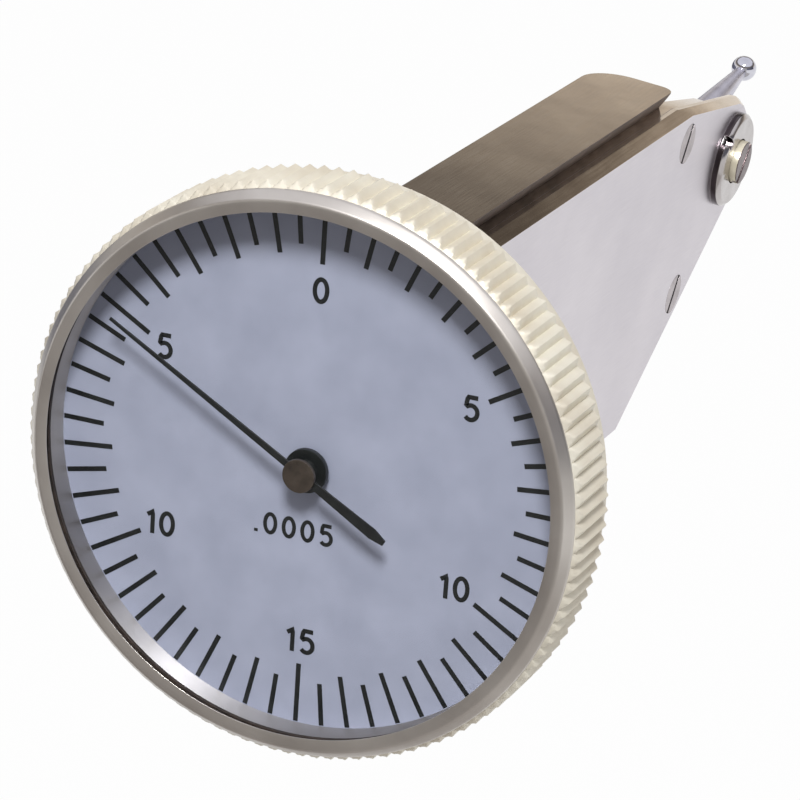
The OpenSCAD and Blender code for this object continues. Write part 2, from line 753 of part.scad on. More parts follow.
// Tapered pointer with a tail that widens to a blunt end.
module pointer() color("black") place() difference() {
  union() {
    face_slab(-pointer_gap - needle_t, needle_t)
    rotate(-pointer_rest)
    polygon([[-needle_half, 0], [-needle_tip_half, pointer_len], [needle_tip_half, pointer_len],
      [needle_half, 0], [tail_half, -tail_wide_at * tail_len], [tail_end_half, -tail_len],
      [-tail_end_half, -tail_len], [-tail_half, -tail_wide_at * tail_len]]);
    long_bar(-pointer_gap - needle_t, -pointer_gap, disc_r);
  }
  long_bar(-pointer_gap - past, 0, arbor_r + seat_gap);
}

// Bush with a foot that carries the pointer on its arbor.
module pointer_hub() color("black") place() difference() {
  union() {
    long_bar(-pointer_gap, -hub_gap, hub_neck_r);
    long_bar(-hub_gap - hub_base_t, -hub_gap, hub_base_r);
  }
  long_bar(-pointer_gap - past, past, arbor_r + seat_gap);
}

// Small cap in front of the pointer.
module pointer_cap() color("rosybrown") place() difference() {
  long_bar(glass_gap - crystal_back, -pointer_gap - needle_t, hub_r - hub_r / 12);
  long_bar(-pointer_gap - needle_t - arbor_nose - seat_gap, 0, arbor_r + seat_gap);
}

// Arbor of the pointer with its pinion cut from the solid.
module pointer_arbor() color("lightgray") place() union() {
  long_bar(-pointer_gap - needle_t - arbor_nose, housing_back + 3 * join, arbor_r);
  long_bar(housing_back + 2 * join, cock_y - 3 * join, arbor_thick_r);
  face_slab(pinion_y - pinion_half, 2 * pinion_half)
  polygon(tooth_row(pinion_teeth, crown_module, tooth_share, 0, pinion_teeth - 1, 180 / pinion_teeth));
  long_bar(cock_y - 4 * join, cock_y + join + rear_jewel_t, arbor_tip_r);
}

// Split collar that grips the inner end of the spiral spring.
module hairspring_collet() color("goldenrod") place() difference() {
  long_bar(collet_y, collet_y + collet_t, collet_r);
  long_bar(collet_y - past, collet_y + 2 * past, arbor_r + seat_gap);
  translate([0, collet_y - past, -collet_slit / 2])
  cube([2 * collet_r, 3 * past, collet_slit]);
}

// Wheel with teeth on its face, meshing with the pinion of the pointer arbor.
module crown_wheel() color("goldenrod") place() difference() {
  half = tooth_share * PI * crown_module / 2;
  root = mesh_ded * crown_module + run_gap;
  tip = mesh_add * crown_module;
  union() {
    cross_bar(-crown_back, -pitch_r - mesh_ded * crown_module, crown_out_r, crown_y, 0);
    for (k = [0:crown_teeth - 1])
      translate([0, crown_y, 0])
      rotate([k * 360 / crown_teeth, 0, 0])
      translate([-pitch_r, crown_out_r - seat_gap, 0])
      rotate([90, 0, 0])
      linear_extrude(crown_face - seat_gap)
      polygon([[-root, -half - 1.84 * flank * crown_module], [tip, flank * crown_module - half],
        [tip, half - flank * crown_module], [-root, half + 1.84 * flank * crown_module]]);
  }
  cross_bar(-crown_back - past, 0, crown_arbor_r + seat_gap, crown_y, 0);
  for (k = [0:spokes - 1])
    translate([0, crown_y, 0])
    rotate([k * 360 / spokes, 0, 0])
    cross_bar(-crown_back - past, 0, 0.2 * crown_r, 0.6 * crown_r, 0);
}

// Cross arbor with the pinion that the lever drives.
module crown_arbor() color("lightgray") place() union() {
  cross_bar(end_play - inner_w, bridge_x - end_play, crown_arbor_r, crown_y, 0);
  cross_bar(end_play - inner_w - crown_jewel_t, end_play - inner_w + join, crown_pivot_r, crown_y, 0);
  cross_bar(bridge_x - end_play - join, bridge_x + bridge_t - 2 * run_gap, crown_pivot_r, crown_y, 0);
  side_slab(lever_x - end_play, lever_t + 2 * end_play)
  translate([crown_y, 0])
  polygon(tooth_row(arbor_teeth, lever_module, tooth_share, 0, arbor_teeth - 1,
    lever_a + 180 + 180 / arbor_teeth));
}

// Long lever with a toothed sector at one end and the pivot ring at the other.
module sector_lever() color("silver") place() side_slab(lever_x, lever_t)
  translate([pivot_y, pivot_z])
  rotate(lever_a)
  difference() {
    union() {
      circle(r = knuckle_r);
      polygon([[0, -arm_root_half], [arm_taper, -arm_half], [sector_r - 0.8 * sector_depth, -arm_half],
        [sector_r - 0.8 * sector_depth, arm_half], [arm_taper, arm_half], [0, arm_root_half]]);
      polygon(concat(
        tooth_row(sector_teeth, lever_module, tooth_share, -6, 4, 0),
        [for (k = [4.5:-1:-6.5]) let(a = k * 360 / sector_teeth)
          (sector_r - sector_depth) * [cos(a), sin(a)]]));
    }
    circle(r = shaft_r + seat_gap);
  }

// Shaft of the lever with a thinner journal at each end.
module lever_shaft() color("lightgray") place() union() {
  cross_bar(2 * run_gap - inner_w, inner_w - 2 * run_gap, shaft_r, pivot_y, pivot_z);
  cross_bar(-inner_w - journal_len, inner_w + journal_len, journal_r, pivot_y, pivot_z);
}

// Dished washer that gives the stylus its friction.
module clutch_washer() color("gray") place() difference() {
  cross_bar(hub_left - run_gap - washer_t, hub_left - run_gap, washer_r, pivot_y, pivot_z);
  cross_bar(-half_w, 0, shaft_r + seat_gap, pivot_y, pivot_z);
}

// Collar on the shaft behind the dished washer.
module clutch_collar() color("silver") place() difference() {
  cross_bar(3 * run_gap - inner_w, hub_left - 2 * run_gap - washer_t, collar_r, pivot_y, pivot_z);
  cross_bar(-half_w, 0, shaft_r + seat_gap, pivot_y, pivot_z);
}

// Knuckle on the shaft with a threaded socket for the stylus.
module stylus_hub() color("silver") place() difference() {
  union() {
    cross_bar(hub_left, hub_right, knuckle_r, pivot_y, pivot_z);
    stylus_bar(neck_root, neck_len, neck_r, neck_r);
  }
  cross_bar(-half_w, half_w, shaft_r + seat_gap, pivot_y, pivot_z);
  stylus_bar(shaft_r, neck_len + past, thread_r + seat_gap, thread_r + seat_gap);
}

// Tapered stem of the stylus with its threaded end.
module stylus_stem() color("silver") place() difference() {
  union() {
    stylus_bar(shaft_r + thread_gap, neck_len + join, thread_r, thread_r);
    stylus_bar(neck_len, neck_len + collar_len, stem_r + run_gap, stem_r + run_gap);
    stylus_bar(neck_len + collar_len - join, stylus_len, stem_r, stem_tip_r);
  }
  translate([0, pivot_y, pivot_z])
  rotate([stylus_tilt, 0, 0])
  translate([0, stylus_len, 0])
  sphere(r = ball_r);
}

// Hard ball that touches the work.
module contact_ball() color("dimgray") place()
  translate([0, pivot_y, pivot_z])
  rotate([stylus_tilt, 0, 0])
  translate([0, stylus_len, 0])
  sphere(r = ball_r);

body_frame();
side_cover();
cover_screws();
dial_housing();
housing_screws();
bezel_wire();
front_jewel();
rear_jewel();
end_stone();
arbor_cock();
cock_screws();
crown_jewel_left();
crown_jewel_right();
train_bridge();
bridge_screws();
lever_jewel_left();
lever_jewel_right();
pivot_cap_left();
pivot_cap_right();
pivot_screw_left();
pivot_screw_right();
stop_pins();
return_spring();
spring_post();
hairspring();
hairspring_stud();
bezel();
crystal();
crystal_gasket();
dial_plate();
dial_ring();
pointer();
pointer_hub();
pointer_cap();
pointer_arbor();
hairspring_collet();
crown_wheel();
crown_arbor();
sector_lever();
lever_shaft();
clutch_washer();
clutch_collar();
stylus_hub();
stylus_stem();
contact_ball();
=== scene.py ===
import json
import math

import bmesh
import bpy
import numpy as np
from mathutils import Matrix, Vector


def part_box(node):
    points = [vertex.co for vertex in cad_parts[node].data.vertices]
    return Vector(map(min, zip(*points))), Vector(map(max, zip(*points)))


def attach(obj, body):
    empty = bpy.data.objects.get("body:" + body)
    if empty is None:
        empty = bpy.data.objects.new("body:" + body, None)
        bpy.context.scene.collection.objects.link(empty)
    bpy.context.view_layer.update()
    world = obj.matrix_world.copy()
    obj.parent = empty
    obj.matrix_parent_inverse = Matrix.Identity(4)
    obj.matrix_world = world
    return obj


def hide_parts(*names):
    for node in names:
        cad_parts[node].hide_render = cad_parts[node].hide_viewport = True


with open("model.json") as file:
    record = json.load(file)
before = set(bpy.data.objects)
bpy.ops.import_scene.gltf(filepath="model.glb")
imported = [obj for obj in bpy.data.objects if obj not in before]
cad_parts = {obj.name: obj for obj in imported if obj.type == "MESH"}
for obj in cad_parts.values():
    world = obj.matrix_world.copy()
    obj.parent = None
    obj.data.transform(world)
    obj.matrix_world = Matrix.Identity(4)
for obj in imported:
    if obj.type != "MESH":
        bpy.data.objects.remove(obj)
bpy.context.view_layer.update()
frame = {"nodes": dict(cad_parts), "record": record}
nodes = frame["nodes"]
record = frame["record"]
nodeSlot = {row["node"]: row["material_slot"] for row in record["subparts"]}
nodeBody = {node: body for body, members in record["behaviour"]["bodies"].items() for node in members}
mm = 0.001
print("frame loaded:", len(nodes), "nodes")

# lengths of new pieces are in mm from the dial axis and the front of the dial plate:
# x to the right, y from the dial towards the stylus, z up
dialLow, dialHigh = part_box("dial_plate")
dialCentre = np.array([(dialLow.x + dialHigh.x) / 2, dialLow.y, (dialLow.z + dialHigh.z) / 2])


def gridFaces(rows, cols, wrapRows=False, wrapCols=False):
    # the four neighbours of each cell, counted row by row; a wrapped side joins its last line to its first
    r = np.arange(rows - (not wrapRows))[:, None]
    c = np.arange(cols - (not wrapCols))[None, :]
    nextRow = (r + 1) % rows
    nextCol = (c + 1) % cols
    corners = np.broadcast_arrays(r * cols + c, r * cols + nextCol,
                                  nextRow * cols + nextCol, nextRow * cols + c)
    return np.stack(corners, -1).reshape(-1, 4)


def turnOutward(points, faces):
    # signed volume is the sum of a.(b x c) + a.(c x d) over the quads; below zero the faces look inwards
    a, b, c, d = points[faces].transpose(1, 0, 2)
    volume = np.einsum("ij,ij->", a, np.cross(b, c) + np.cross(c, d))
    return faces if volume > 0 else faces[:, ::-1]


def roundCorners(corners, radii, steps, share):
    # each corner p becomes (1-u)^2 s + 2u(1-u) p + u^2 e, where s and e lie a rounding away
    # on its two edges; a rounding takes at most the given share of an edge
    p = np.asarray(corners, float)
    before = np.roll(p, 1, 0) - p
    after = np.roll(p, -1, 0) - p
    lengthBefore = np.linalg.norm(before, axis=1, keepdims=True)
    lengthAfter = np.linalg.norm(after, axis=1, keepdims=True)
    most = share * np.minimum(lengthBefore, lengthAfter)
    reach = np.minimum(np.asarray(radii, float)[:, None], most)
    s = p + before / lengthBefore * reach
    e = p + after / lengthAfter * reach
    u = np.linspace(0, 1, steps)[None, :, None]
    curve = (1 - u) ** 2 * s[:, None] + 2 * u * (1 - u) * p[:, None] + u ** 2 * e[:, None]
    return curve.reshape(-1, 2)


def addPiece(name, points, faces, used, body, sharp, stands=(), zones=None):
    # a mesh with its place in its points, smooth but for edges past the sharp angle in degrees
    mesh = bpy.data.meshes.new(name)
    mesh.from_pydata((points * mm + dialCentre).tolist(), [], turnOutward(points, faces).tolist())
    for finish in used:
        mesh.materials.append(finish)
    if zones is not None:
        mesh.polygons.foreach_set("material_index", np.asarray(zones, np.int32))
    mesh.shade_smooth()
    mesh.set_sharp_from_angle(angle=math.radians(sharp))
    piece = bpy.data.objects.new(name, mesh)
    bpy.context.scene.collection.objects.link(piece)
    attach(piece, body)
    if stands:
        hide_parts(*stands)


# finishes: light and dark are the two sRGB tones that a soft noise mixes, patch the size of that noise
# in mm, grain the length of the fine marks in mm along x, y and z, rough the range that they give, dent
# their depth in mm; paintedShade is a painted shade: where along y the tone starts and ends to go from
# darker to brighter, and how dark and bright it is there; turned marks run round the dial axis, stretch
# draws the gloss out across them, and alpha is how much a clear piece hides of what lies behind it
finishSettings = {
    # frame_satin carries a painted shade: darker near the bezel, brighter towards the far end of the rail
    "frame_satin": dict(light=(196, 182, 164), dark=(166, 151, 134), patch=6, grain=(0.12, 4, 0.12),
                        rough=(0.1, 0.2), dent=0.004, metal=1, paintedShade=(18, 48, 0.6, 1.3)),
    "cover_satin": dict(light=(216, 211, 216), dark=(206, 201, 207), patch=9, grain=(0.1, 3, 0.1),
                        rough=(0.32, 0.42), dent=0.002, metal=1),
    "bezel_satin": dict(light=(206, 201, 195), dark=(182, 176, 170), patch=5, grain=(0.08, 0.08, 0.08),
                        rough=(0.3, 0.42), dent=0.003, metal=1, turned=True),
    # a warm ivory tone painted for the warm light that the knurl reflects
    "knurl_painted_ivory_sheen": dict(light=(243, 238, 222), dark=(224, 215, 196), patch=4, grain=(0.1, 0.5, 0.1),
                        rough=(0.38, 0.52), dent=0.004, metal=0.4),
    "wall_turned": dict(light=(196, 194, 195), dark=(178, 176, 178), patch=5, grain=(0.1, 0.1, 0.1),
                        rough=(0.52, 0.6), dent=0.001, metal=1, turned=True, stretch=0.93),
    "cap_polished": dict(light=(196, 192, 192), dark=(170, 164, 162), patch=2.5, grain=(0.06, 0.06, 0.06),
                         rough=(0.12, 0.22), dent=0.001, metal=1),
    "screw_steel": dict(light=(188, 180, 182), dark=(158, 150, 153), patch=1.2, grain=(0.05, 0.6, 0.05),
                        rough=(0.26, 0.4), dent=0.002, metal=1),
    "screw_warm": dict(light=(124, 110, 110), dark=(88, 76, 78), patch=0.9, grain=(0.05, 0.3, 0.05),
                       rough=(0.2, 0.34), dent=0.002, metal=1),
    # the side wall of a pivot cap, painted dark as its shade and dark reflection
    "cap_edge_painted_shade": dict(light=(88, 80, 82), dark=(64, 58, 60), patch=1.5, grain=(0.4, 0.05, 0.05),
                     rough=(0.12, 0.2), dent=0.001, metal=1),
    # the rim of a pivot screw, painted cream as a highlight
    "screw_rim_painted_highlight": dict(light=(238, 232, 210), dark=(216, 208, 186), patch=0.8, grain=(0.3, 0.05, 0.05),
                        rough=(0.3, 0.45), dent=0.001, metal=0.5),
    # painted shade under the rail and inside the bay
    "groove_painted_shade": dict(light=(140, 126, 120), dark=(108, 97, 93), patch=2, grain=(0.1, 1.5, 0.1),
                        rough=(0.45, 0.65), dent=0.004, metal=0.5),
    # painted shade in the slots of the cover screws
    "slot_painted_shade": dict(light=(46, 42, 44), dark=(28, 25, 27), patch=0.6, grain=(0.05, 0.05, 0.05),
                      rough=(0.5, 0.7), dent=0.001, metal=0),
    "spring_steel": dict(light=(156, 156, 158), dark=(132, 132, 136), patch=2, grain=(0.1, 2, 0.1),
                         rough=(0.24, 0.36), dent=0.001, metal=1),
    "train_steel": dict(light=(190, 190, 192), dark=(166, 166, 170), patch=1.5, grain=(0.05, 0.8, 0.05),
                        rough=(0.22, 0.36), dent=0.001, metal=1),
    "stylus_steel": dict(light=(214, 212, 222), dark=(190, 188, 200), patch=2, grain=(0.05, 1.5, 0.05),
                         rough=(0.28, 0.4), dent=0.001, metal=1),
    "ball_steel": dict(light=(216, 216, 224), dark=(196, 196, 206), patch=1, grain=(0.1, 0.1, 0.1),
                       rough=(0.03, 0.07), dent=0.0002, metal=1),
    "hairspring_blue": dict(light=(66, 84, 148), dark=(44, 58, 112), patch=1, grain=(0.05, 0.05, 0.05),
                            rough=(0.2, 0.32), dent=0.0005, metal=1),
    "brass": dict(light=(212, 180, 108), dark=(184, 150, 84), patch=2, grain=(0.05, 0.6, 0.05),
                  rough=(0.22, 0.36), dent=0.001, metal=1),
    "cap_bronze": dict(light=(106, 96, 86), dark=(80, 72, 65), patch=0.8, grain=(0.05, 0.05, 0.05),
                       rough=(0.3, 0.45), dent=0.002, metal=0.8),
    "ruby": dict(light=(178, 30, 56), dark=(138, 16, 40), patch=0.7, grain=(0.05, 0.05, 0.05),
                 rough=(0.06, 0.14), dent=0.0005, metal=0),
    "gasket_rubber": dict(light=(62, 50, 42), dark=(40, 33, 28), patch=1, grain=(0.08, 0.08, 0.08),
                          rough=(0.55, 0.75), dent=0.003, metal=0),
    "dial_paint": dict(light=(184, 190, 211), dark=(170, 176, 197), patch=3.5, grain=(0.12, 0.12, 0.12),
                       rough=(0.45, 0.6), dent=0.0015, metal=0),
    "pointer_black": dict(light=(30, 33, 32), dark=(14, 16, 16), patch=1.2, grain=(0.06, 0.06, 0.06),
                          rough=(0.32, 0.48), dent=0.001, metal=0),
    "crystal_clear": dict(light=(60, 64, 70), dark=(46, 50, 56), patch=12, grain=(2, 2, 2),
                          rough=(0.02, 0.05), dent=0.0001, metal=0, alpha=0.03),
}
# noise of every finish: low and high are the values of it that give the two tones and the two roughnesses
noiseSettings = dict(patchDetail=4, grainDetail=3, low=0.3, high=0.7, dentStrength=0.6, quarterTurn=0.25)


def toLinear(tone):
    # sRGB to linear light: c / 12.92 in the darkest tones, ((c + 0.055) / 1.055) ^ 2.4 in the others
    c = np.asarray(tone, float) / 255
    c = np.where(c <= 0.04045, c / 12.92, ((c + 0.055) / 1.055) ** 2.4)
    return (*c.tolist(), 1.0)


def paintShadeAlongY(tree, place, tone, paintedShade):
    # painted shade: the tone times a value that goes from dark to bright with the place along y
    start, end, shadedLevel, bright = paintedShade
    along = tree.nodes.new("ShaderNodeSeparateXYZ")
    shadeFalloff = tree.nodes.new("ShaderNodeMapRange")
    shadeFalloff.inputs["From Min"].default_value = float(dialCentre[1]) + start * mm
    shadeFalloff.inputs["From Max"].default_value = float(dialCentre[1]) + end * mm
    shadeFalloff.inputs["To Min"].default_value = shadedLevel
    shadeFalloff.inputs["To Max"].default_value = bright
    shadedTone = tree.nodes.new("ShaderNodeHueSaturation")
    tree.links.new(place, along.inputs["Vector"])
    tree.links.new(along.outputs["Y"], shadeFalloff.inputs["Value"])
    tree.links.new(shadeFalloff.outputs["Result"], shadedTone.inputs["Value"])
    tree.links.new(tone, shadedTone.inputs["Color"])
    return shadedTone.outputs["Color"]


def roundAxis(tree, place):
    # marks of turning run round the dial axis, so the place keeps only its radius, root of x^2 + z^2, and y
    split = tree.nodes.new("ShaderNodeSeparateXYZ")
    across = tree.nodes.new("ShaderNodeMath")
    across.operation = "MULTIPLY"
    upright = tree.nodes.new("ShaderNodeMath")
    upright.operation = "MULTIPLY_ADD"
    root = tree.nodes.new("ShaderNodeMath")
    root.operation = "SQRT"
    joined = tree.nodes.new("ShaderNodeCombineXYZ")
    tree.links.new(place, split.inputs["Vector"])
    tree.links.new(split.outputs["X"], across.inputs[0])
    tree.links.new(split.outputs["X"], across.inputs[1])
    tree.links.new(split.outputs["Z"], upright.inputs[0])
    tree.links.new(split.outputs["Z"], upright.inputs[1])
    tree.links.new(across.outputs["Value"], upright.inputs[2])
    tree.links.new(upright.outputs["Value"], root.inputs[0])
    tree.links.new(root.outputs["Value"], joined.inputs["X"])
    tree.links.new(split.outputs["Y"], joined.inputs["Y"])
    return joined.outputs["Vector"]


def makeFinish(name, s, noise):
    # base colour = dark + (light - dark) * soft noise; roughness and bump follow a finer noise
    # that is drawn out along the grain
    finish = bpy.data.materials.new(name)
    finish.use_nodes = True
    tree = finish.node_tree
    shader = tree.nodes["Principled BSDF"]
    shader.inputs["Metallic"].default_value = s["metal"]
    place = tree.nodes.new("ShaderNodeTexCoord").outputs["Object"]

    patch = tree.nodes.new("ShaderNodeTexNoise")
    patch.inputs["Scale"].default_value = 1 / (s["patch"] * mm)
    patch.inputs["Detail"].default_value = noise["patchDetail"]
    tree.links.new(place, patch.inputs["Vector"])
    tones = tree.nodes.new("ShaderNodeValToRGB")
    tones.color_ramp.elements[0].position = noise["low"]
    tones.color_ramp.elements[1].position = noise["high"]
    tones.color_ramp.elements[0].color = toLinear(s["dark"])
    tones.color_ramp.elements[1].color = toLinear(s["light"])
    tree.links.new(patch.outputs["Fac"], tones.inputs["Fac"])
    tone = tones.outputs["Color"]
    # painted shade along y: the rail darker near the bezel and brighter towards its far end
    if "paintedShade" in s:
        tone = paintShadeAlongY(tree, place, tone, s["paintedShade"])
    tree.links.new(tone, shader.inputs["Base Color"])

    drawn = tree.nodes.new("ShaderNodeMapping")
    drawn.inputs["Scale"].default_value = [1 / (g * mm) for g in s["grain"]]
    tree.links.new(place, drawn.inputs["Vector"])
    marks = drawn.outputs["Vector"]
    if s.get("turned"):
        drawn.inputs["Location"].default_value = [0, 0, -dialCentre[2] / (s["grain"][2] * mm)]
        marks = roundAxis(tree, marks)
    grain = tree.nodes.new("ShaderNodeTexNoise")
    grain.inputs["Scale"].default_value = 1
    grain.inputs["Detail"].default_value = noise["grainDetail"]
    tree.links.new(marks, grain.inputs["Vector"])
    spread = tree.nodes.new("ShaderNodeMapRange")
    spread.inputs["From Min"].default_value = noise["low"]
    spread.inputs["From Max"].default_value = noise["high"]
    spread.inputs["To Min"].default_value = s["rough"][0]
    spread.inputs["To Max"].default_value = s["rough"][1]
    tree.links.new(grain.outputs["Fac"], spread.inputs["Value"])
    tree.links.new(spread.outputs["Result"], shader.inputs["Roughness"])
    bump = tree.nodes.new("ShaderNodeBump")
    bump.inputs["Strength"].default_value = noise["dentStrength"]
    bump.inputs["Distance"].default_value = s["dent"] * mm
    tree.links.new(grain.outputs["Fac"], bump.inputs["Height"])
    tree.links.new(bump.outputs["Normal"], shader.inputs["Normal"])

    if "stretch" in s:
        # turned marks spread the gloss across them: the tangent runs round the dial axis, a quarter turned
        shader.inputs["Anisotropic"].default_value = s["stretch"]
        shader.inputs["Anisotropic Rotation"].default_value = noise["quarterTurn"]
        around = tree.nodes.new("ShaderNodeTangent")
        around.direction_type = "RADIAL"
        around.axis = "Y"
        tree.links.new(around.outputs["Tangent"], shader.inputs["Tangent"])
    if "alpha" in s:
        shader.inputs["Alpha"].default_value = s["alpha"]
    return finish


finishes = {name: makeFinish(name, s, noiseSettings) for name, s in finishSettings.items()}
for node, part in nodes.items():
    part.data.materials.clear()
    part.data.materials.append(finishes[nodeSlot[node]])
print("finishes made:", len(finishes))

# bezel: radii and places along the axis of its cross-section; roundings follow the order of its corners,
# edgeShare is the most of an edge that one may take, around the count of steps round the axis
bezelSettings = dict(lipRadius=17.2, lipFlat=0.8, lipFront=-2.9, lipDish=0.09, lipBack=-2.75,
                     bevelEnd=-2.25, rootRadius=18.58, back=2.75, seatRadius=17.55, seatFront=0.0,
                     sightRadius=17.45, shelf=-1.73, grooveRadius=17.9,
                     roundings=(0.03, 0.16, 0.16, 0.12, 0.12, 0.02, 0.03, 0.05, 0.02, 0.02, 0.06),
                     roundSteps=5, edgeShare=0.45, around=360, sharp=32)


def sweepRound(profile, count):
    # profile of (radius, y) carried round the dial axis: x = radius * sin t, z = radius * cos t
    t = np.linspace(0, 2 * np.pi, count, endpoint=False)[None, :]
    r = profile[:, :1]
    y = profile[:, 1:]
    points = np.stack(np.broadcast_arrays(r * np.sin(t), y, r * np.cos(t)), -1).reshape(-1, 3)
    return points, gridFaces(len(profile), count, wrapRows=True, wrapCols=True)


def makeBezelRing(s):
    # cross-section from the inner edge of the lip over the rim to the back, then forward along the inside
    corners = [(s["lipRadius"], s["lipFront"] + s["lipDish"]),
               (s["lipRadius"] + s["lipFlat"], s["lipFront"]),
               (s["rootRadius"], s["bevelEnd"]),
               (s["rootRadius"], s["back"]),
               (s["seatRadius"], s["back"]),
               (s["seatRadius"], s["seatFront"]),
               (s["sightRadius"], s["seatFront"]),
               (s["sightRadius"], s["shelf"]),
               (s["grooveRadius"], s["shelf"]),
               (s["grooveRadius"], s["lipBack"]),
               (s["lipRadius"], s["lipBack"])]
    steps = s["roundSteps"]
    profile = roundCorners(corners, s["roundings"], steps, s["edgeShare"])
    points, faces = sweepRound(profile, s["around"])
    zones = np.zeros((len(profile), s["around"]), int)
    zones[6 * steps:8 * steps] = 1  # corners 6 and 7: the sight wall between dial and crystal
    zones[3 * steps - 1:4 * steps] = 2  # corner 3: the rim under the knurl and behind it
    used = [finishes[name] for name in ("bezel_satin", "wall_turned", "knurl_painted_ivory_sheen")]
    addPiece("bezelRing", points, faces, used, "bezel", s["sharp"], ["bezel"], zones.ravel())


makeBezelRing(bezelSettings)

# knurl: grooves cut lengthwise into the rim, run out by a slope at the front and the back;
# grooveForm bends the flanks of a groove, sink is how far the ends dip below its root
knurlSettings = dict(count=120, tipRadius=19.0, depth=0.4, inner=18.3, front=-2.15, back=2.72, runOut=0.4,
                     runBack=0.2, grooveForm=1.25, sink=0.04, perTooth=8, rows=15, sharp=28)


def makeKnurl(s):
    # radius(t, y) = smaller of tip - depth * groove(t) and the slopes that close the band at its two ends
    t = np.linspace(0, 2 * np.pi, s["count"] * s["perTooth"], endpoint=False)[None, :]
    ease = np.linspace(0, np.pi, s["rows"])
    y = (s["front"] + (s["back"] - s["front"]) * (1 - np.cos(ease)) / 2)[:, None]
    wave = np.abs((t * s["count"] / (2 * np.pi)) % 1 * 2 - 1)  # 1 at a groove, 0 at a tip
    groove = wave ** s["grooveForm"]
    root = s["tipRadius"] - s["depth"]
    slopeFront = root - s["sink"] + (y - s["front"]) / s["runOut"] * s["depth"]
    slopeBack = root - s["sink"] + (s["back"] - y) / s["runBack"] * s["depth"]
    r = np.minimum(s["tipRadius"] - s["depth"] * groove, np.minimum(slopeFront, slopeBack))
    r = np.concatenate([0 * t + s["inner"], r, 0 * t + s["inner"]])
    y = np.concatenate([y[:1], y, y[-1:]])
    points = np.stack(np.broadcast_arrays(r * np.sin(t), y, r * np.cos(t)), -1).reshape(-1, 3)
    faces = gridFaces(len(y), t.size, wrapRows=True, wrapCols=True)
    # the knurl takes a warm ivory tone painted as its reflection of warm light
    addPiece("knurlBand", points, faces, [finishes["knurl_painted_ivory_sheen"]], "bezel", s["sharp"],
             ["bezel"])


makeKnurl(knurlSettings)
print("bezel ring and knurl made")

# dial print: ticks and numerals stand a hair above the paint; the whole print is turned with the set bezel,
# and each number has its angle in degrees, its figures and its radius
dialSettings = dict(turn=-6.47, ticks=60, longEvery=10, outer=17.4, innerLong=13.4, innerEven=13.95,
                    innerOdd=14.55, width=0.33, lift=0.012, sink=0.004, sharp=20,
                    numerals={0: ("0", 11.7), 60: ("5", 12.1), 120: ("10", 11.8), 180: ("15", 11.8),
                              240: ("10", 11.8), 300: ("5", 12.1)},
                    numeralHeight=1.68, stroke=0.3, numeralSpread=1,
                    valueText=".0005", valueAcross=-0.93, valueRadius=4.3, valueHeight=1.46,
                    valueStroke=0.26, valueSpread=1.11)
# figures: the room that each takes and its centre line, in parts of its height; the line is a ring,
# or a path that may go on into a bowl, between two angles in degrees
figureSettings = {
    "0": dict(width=0.8, ring=(0.25, 0.43), steps=28),
    "1": dict(width=0.56, path=[(-0.16, 0.24), (-0.02, 0.33), (0.07, 0.43), (0.07, 0.3), (0.07, -0.2),
                                (0.07, -0.5)]),
    "5": dict(width=0.78, path=[(0.24, 0.43), (0.1, 0.43), (-0.15, 0.43), (-0.17, 0.36), (-0.21, 0.09)],
              bowl=(0.26, 0.28), bowlAt=(-0.01, -0.16), bowlFrom=128, bowlTo=-142, steps=18),
    ".": dict(width=0.4, path=[(0, -0.5), (0, -0.45), (0, -0.36)]),
}


def onDial(across, up, height):
    # a point of the print: turned about the dial axis, then lifted off the paint towards the crystal
    a = math.radians(dialSettings["turn"])
    x = across * math.cos(a) + up * math.sin(a)
    z = up * math.cos(a) - across * math.sin(a)
    return np.stack(np.broadcast_arrays(x, -height, z), -1)


def makeTicks(s):
    # each tick is a thin bar: corner = radius * (sin t, cos t) + side * (cos t, -sin t), top and bottom
    index = np.arange(s["ticks"])
    short = np.where(index % 2 == 0, s["innerEven"], s["innerOdd"])
    inner = np.where(index % s["longEvery"] == 0, s["innerLong"], short)
    outer = np.full(len(index), s["outer"])
    t = (index * 2 * np.pi / s["ticks"])[:, None]
    r = np.stack([inner, inner, outer, outer], 1)
    side = np.array([-0.5, 0.5, 0.5, -0.5])[None, :] * s["width"]
    x = r * np.sin(t) + side * np.cos(t)
    z = r * np.cos(t) - side * np.sin(t)
    points = np.stack([onDial(x, z, -s["sink"]), onDial(x, z, s["lift"])], 1).reshape(-1, 3)
    # the six sides of a bar with eight corners
    box = np.array([[0, 1, 2, 3], [7, 6, 5, 4], [0, 4, 5, 1], [1, 5, 6, 2], [2, 6, 7, 3], [3, 7, 4, 0]])
    faces = (index[:, None, None] * 8 + box[None]).reshape(-1, 4)
    addPiece("dialTicks", points, faces, [finishes["pointer_black"]], "bezel", s["sharp"])


def figurePath(s):
    # a ring (a sin t, b cos t), or a path of points and then a bowl (a cos t, b sin t) about its middle
    if "ring" in s:
        t = np.linspace(0, 2 * np.pi, s["steps"], endpoint=False)
        return np.stack([s["ring"][0] * np.sin(t), s["ring"][1] * np.cos(t)], 1)
    path = np.array(s["path"], float)
    if "bowl" in s:
        t = np.radians(np.linspace(s["bowlFrom"], s["bowlTo"], s["steps"]))
        bowl = np.stack([s["bowl"][0] * np.cos(t), s["bowl"][1] * np.sin(t)], 1) + s["bowlAt"]
        path = np.concatenate([path, bowl])
    return path


